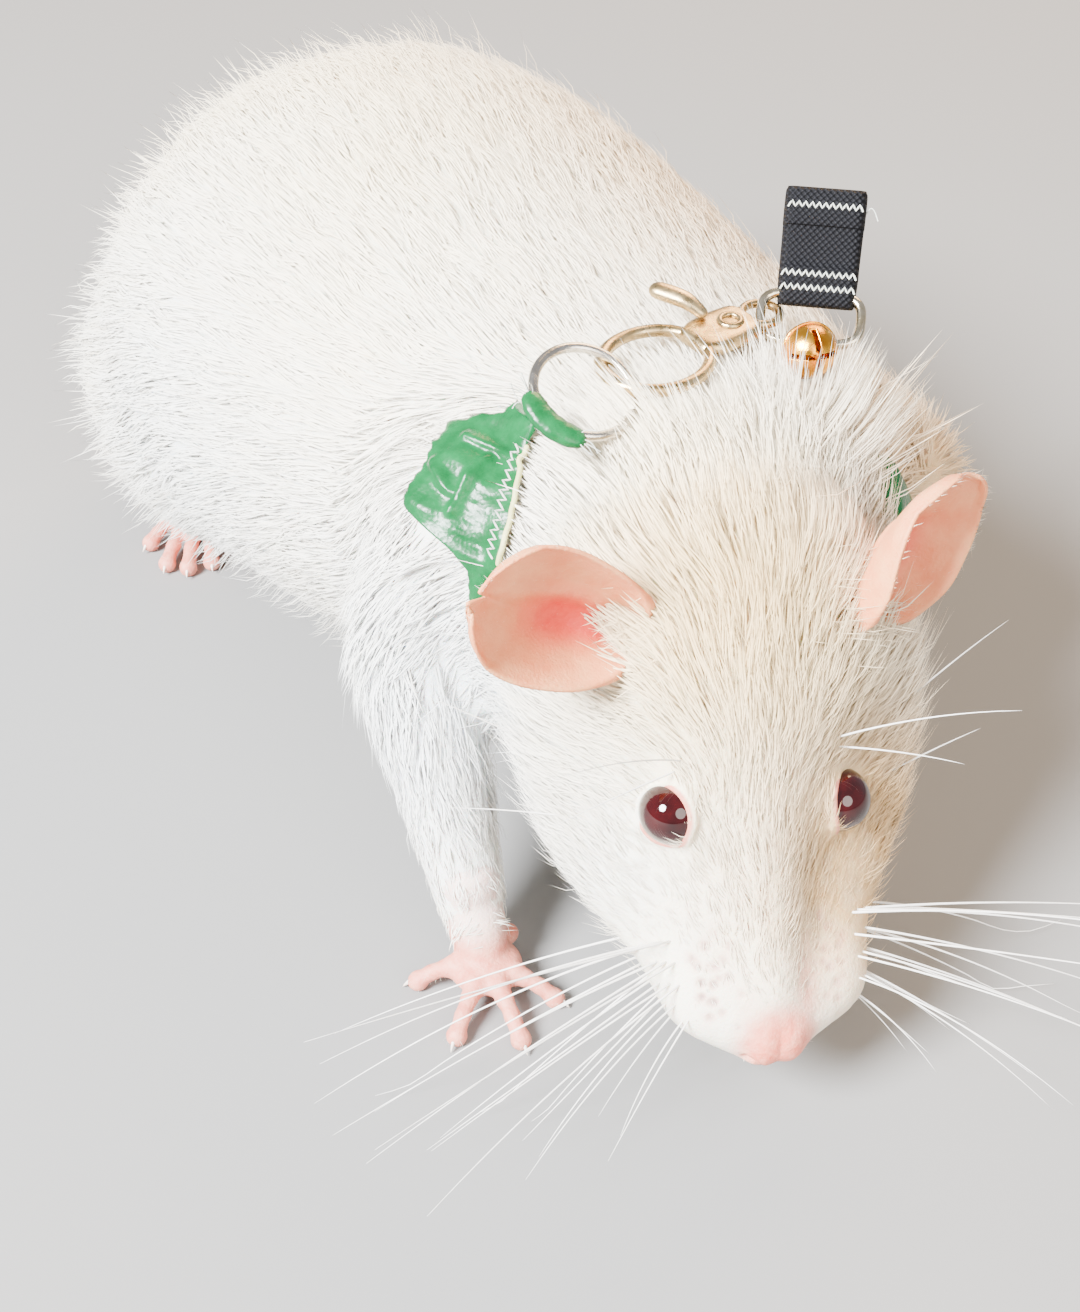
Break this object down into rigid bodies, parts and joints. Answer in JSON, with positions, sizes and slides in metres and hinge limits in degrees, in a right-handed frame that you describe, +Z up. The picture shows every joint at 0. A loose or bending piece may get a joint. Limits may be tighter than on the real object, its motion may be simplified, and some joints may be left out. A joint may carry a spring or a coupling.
{
  "type": "pet rat in a harness",
  "caption": "Crouched pet rat in a shoulder harness with a ring, snap clip and bell, right forepaw forward and head lowered.",
  "frame": {"origin": "under the middle of the bounding box, on the floor", "axes": "+Z up from the floor, -Y the way the body faces, +X the rat's left"},
  "size_m": [0.1848, 0.2626, 0.0789],
  "materials": {
    "coat": "short white fur",
    "paw_skin": "bare pink skin",
    "foot_skin": "bare pink skin",
    "ear_skin": "thin pink skin",
    "tail_skin": "scaly pink skin",
    "eye": "wet gloss",
    "green_leather": "semi-gloss",
    "steel": "bright",
    "nickel": "bright warm nickel",
    "gold": "bright",
    "webbing": "woven"
  },
  "bodies": {
    "root": {"head": "coat", "muzzle": "coat", "neck": "coat", "chest": "coat", "belly": "coat", "rump": "coat", "upper_arm_right": "coat", "upper_arm_left": "coat", "forearm_right": "coat", "forearm_left": "coat", "thigh_right": "coat", "thigh_left": "coat", "forepaw_right": "paw_skin", "forepaw_left": "paw_skin", "hind_foot_right": "foot_skin", "hind_foot_left": "foot_skin", "ear_right": "ear_skin", "ear_left": "ear_skin", "eye_right": "eye", "eye_left": "eye", "tail_1": "tail_skin", "tail_2": "tail_skin", "tail_3": "tail_skin", "tail_4": "tail_skin", "tail_5": "tail_skin", "harness_neck_strap": "green_leather", "harness_girth_strap": "green_leather", "harness_yoke": "green_leather", "harness_loop": "green_leather", "harness_ring": "steel", "clip_body": "nickel", "clip_trigger": "nickel", "clip_rivet": "nickel", "clip_link": "nickel", "bell": "gold", "webbing_end": "webbing"}
  },
  "joints": []
}
